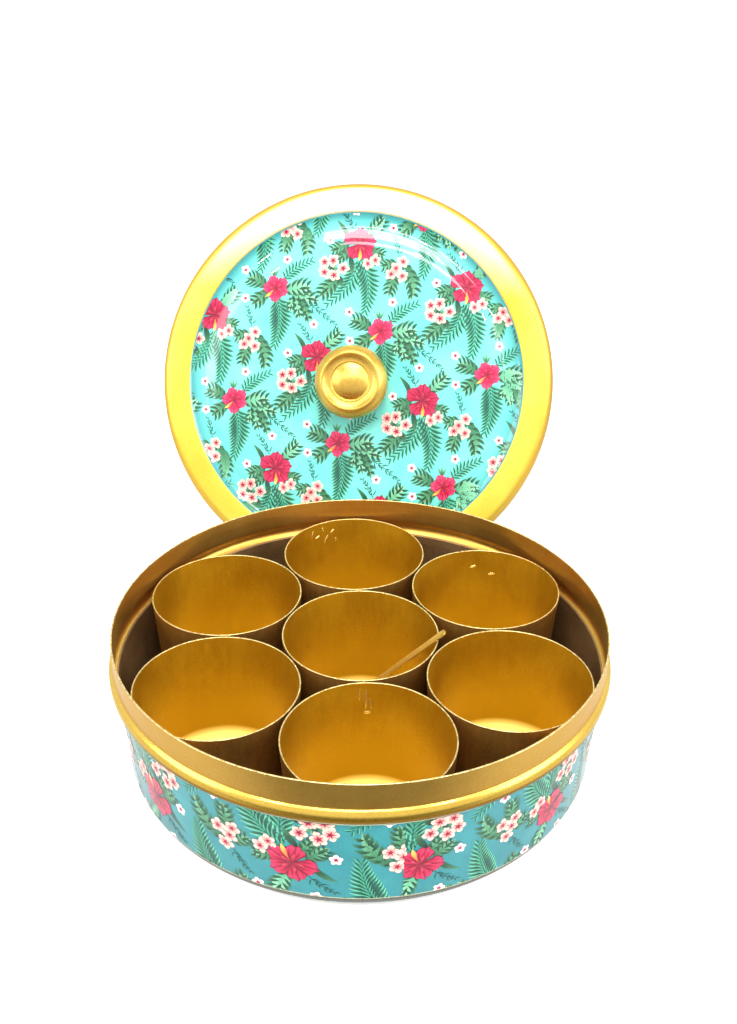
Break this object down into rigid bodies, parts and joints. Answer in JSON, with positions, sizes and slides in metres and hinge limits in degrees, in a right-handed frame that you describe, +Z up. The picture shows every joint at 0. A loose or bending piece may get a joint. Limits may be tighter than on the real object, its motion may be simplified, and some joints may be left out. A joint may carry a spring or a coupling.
{
  "type": "spice box",
  "caption": "Round metal spice box with a floral print: loose cups in a gold pan, a small spoon, and a knobbed lid standing behind.",
  "frame": {"origin": "middle of the pan's flat underside, on the table", "axes": "+Z up, +Y towards the lid that stands behind the pan, +X to the right seen from the front"},
  "size_m": [0.2168, 0.3315, 0.2012],
  "materials": {
    "gold_pan": "satin metallic gold paint",
    "gold_cup": "satin metallic gold paint",
    "gold_lid": "bright metallic gold paint",
    "gold_knob": "bright metallic gold paint",
    "gold_spoon": "satin metallic gold paint",
    "floral_wrap": "glossy printed film, turquoise with flowers and leaves",
    "floral_lid_print": "printed film under a thick clear gloss coat",
    "plain_steel": "plain zinc-coated"
  },
  "bodies": {
    "pan": {"pan": "gold_pan", "side_print_wrap": "floral_wrap"},
    "lid": {"lid_shell": "gold_lid", "lid_print_disc": "floral_lid_print", "knob": "gold_knob", "knob_washer": "plain_steel", "knob_screw": "plain_steel"},
    "spoon": {"spoon": "gold_spoon"},
    "cup_centre": {"cup_centre": "gold_cup"},
    "cup_back_right": {"cup_back_right": "gold_cup"},
    "cup_back": {"cup_back": "gold_cup"},
    "cup_back_left": {"cup_back_left": "gold_cup"},
    "cup_front_left": {"cup_front_left": "gold_cup"},
    "cup_front": {"cup_front": "gold_cup"},
    "cup_front_right": {"cup_front_right": "gold_cup"}
  },
  "joints": [
    {"name": "lid_lift", "type": "slide", "parent": "pan", "child": "lid", "axis": [0, 0, 1], "range_m": [0, 0.1]},
    {"name": "cup_centre_lift", "type": "slide", "parent": "pan", "child": "cup_centre", "axis": [0, 0, 1], "range_m": [0, 0.075]},
    {"name": "cup_back_right_lift", "type": "slide", "parent": "pan", "child": "cup_back_right", "axis": [0, 0, 1], "range_m": [0, 0.075]},
    {"name": "cup_back_lift", "type": "slide", "parent": "pan", "child": "cup_back", "axis": [0, 0, 1], "range_m": [0, 0.075]},
    {"name": "cup_back_left_lift", "type": "slide", "parent": "pan", "child": "cup_back_left", "axis": [0, 0, 1], "range_m": [0, 0.075]},
    {"name": "cup_front_left_lift", "type": "slide", "parent": "pan", "child": "cup_front_left", "axis": [0, 0, 1], "range_m": [0, 0.075]},
    {"name": "cup_front_lift", "type": "slide", "parent": "pan", "child": "cup_front", "axis": [0, 0, 1], "range_m": [0, 0.075]},
    {"name": "cup_front_right_lift", "type": "slide", "parent": "pan", "child": "cup_front_right", "axis": [0, 0, 1], "range_m": [0, 0.075]},
    {"name": "spoon_lift", "type": "slide", "parent": "cup_centre", "child": "spoon", "axis": [0, 0, 1], "range_m": [0, 0.06]}
  ]
}
